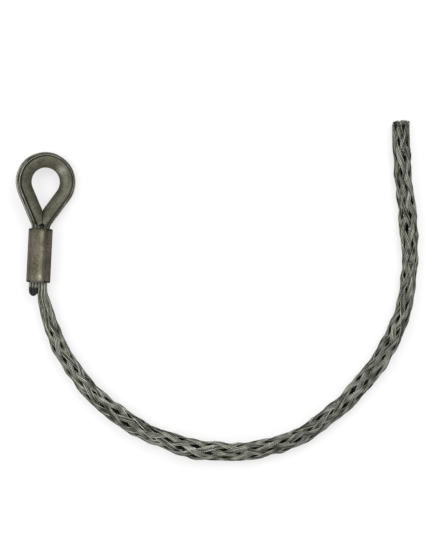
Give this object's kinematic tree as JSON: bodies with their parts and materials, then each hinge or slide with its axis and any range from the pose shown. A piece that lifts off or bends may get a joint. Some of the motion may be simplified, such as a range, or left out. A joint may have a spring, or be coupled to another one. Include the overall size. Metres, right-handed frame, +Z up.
{
  "type": "cable pulling grip",
  "caption": "Woven steel wire cable pulling grip: a long open-ended diamond mesh tube gathered through a pressed six-sided ferrule into a rope eye round a grooved thimble.",
  "frame": {"origin": "under the middle of the grip's box, on the ground it lies on", "axes": "+X along the grip's longest reach from the eye to the open mouth, +Y from the bend of the mesh towards the eye and mouth, +Z up from the ground, the smallest reach"},
  "size_m": [0.401, 0.3408, 0.0297],
  "materials": {
    "thimble_steel": "dull weathered steel with brown staining and rubbed edges",
    "ferrule_steel": "pressed steel, brown-olive oxide, rubbed on the ridges",
    "wire_steel": "dark weathered steel wire with paler rubbed crowns"
  },
  "bodies": {
    "root": {"thimble": "thimble_steel", "ferrule": "ferrule_steel", "strand_1": "wire_steel", "strand_2": "wire_steel", "strand_3": "wire_steel", "strand_4": "wire_steel", "strand_5": "wire_steel", "strand_6": "wire_steel"}
  },
  "joints": []
}
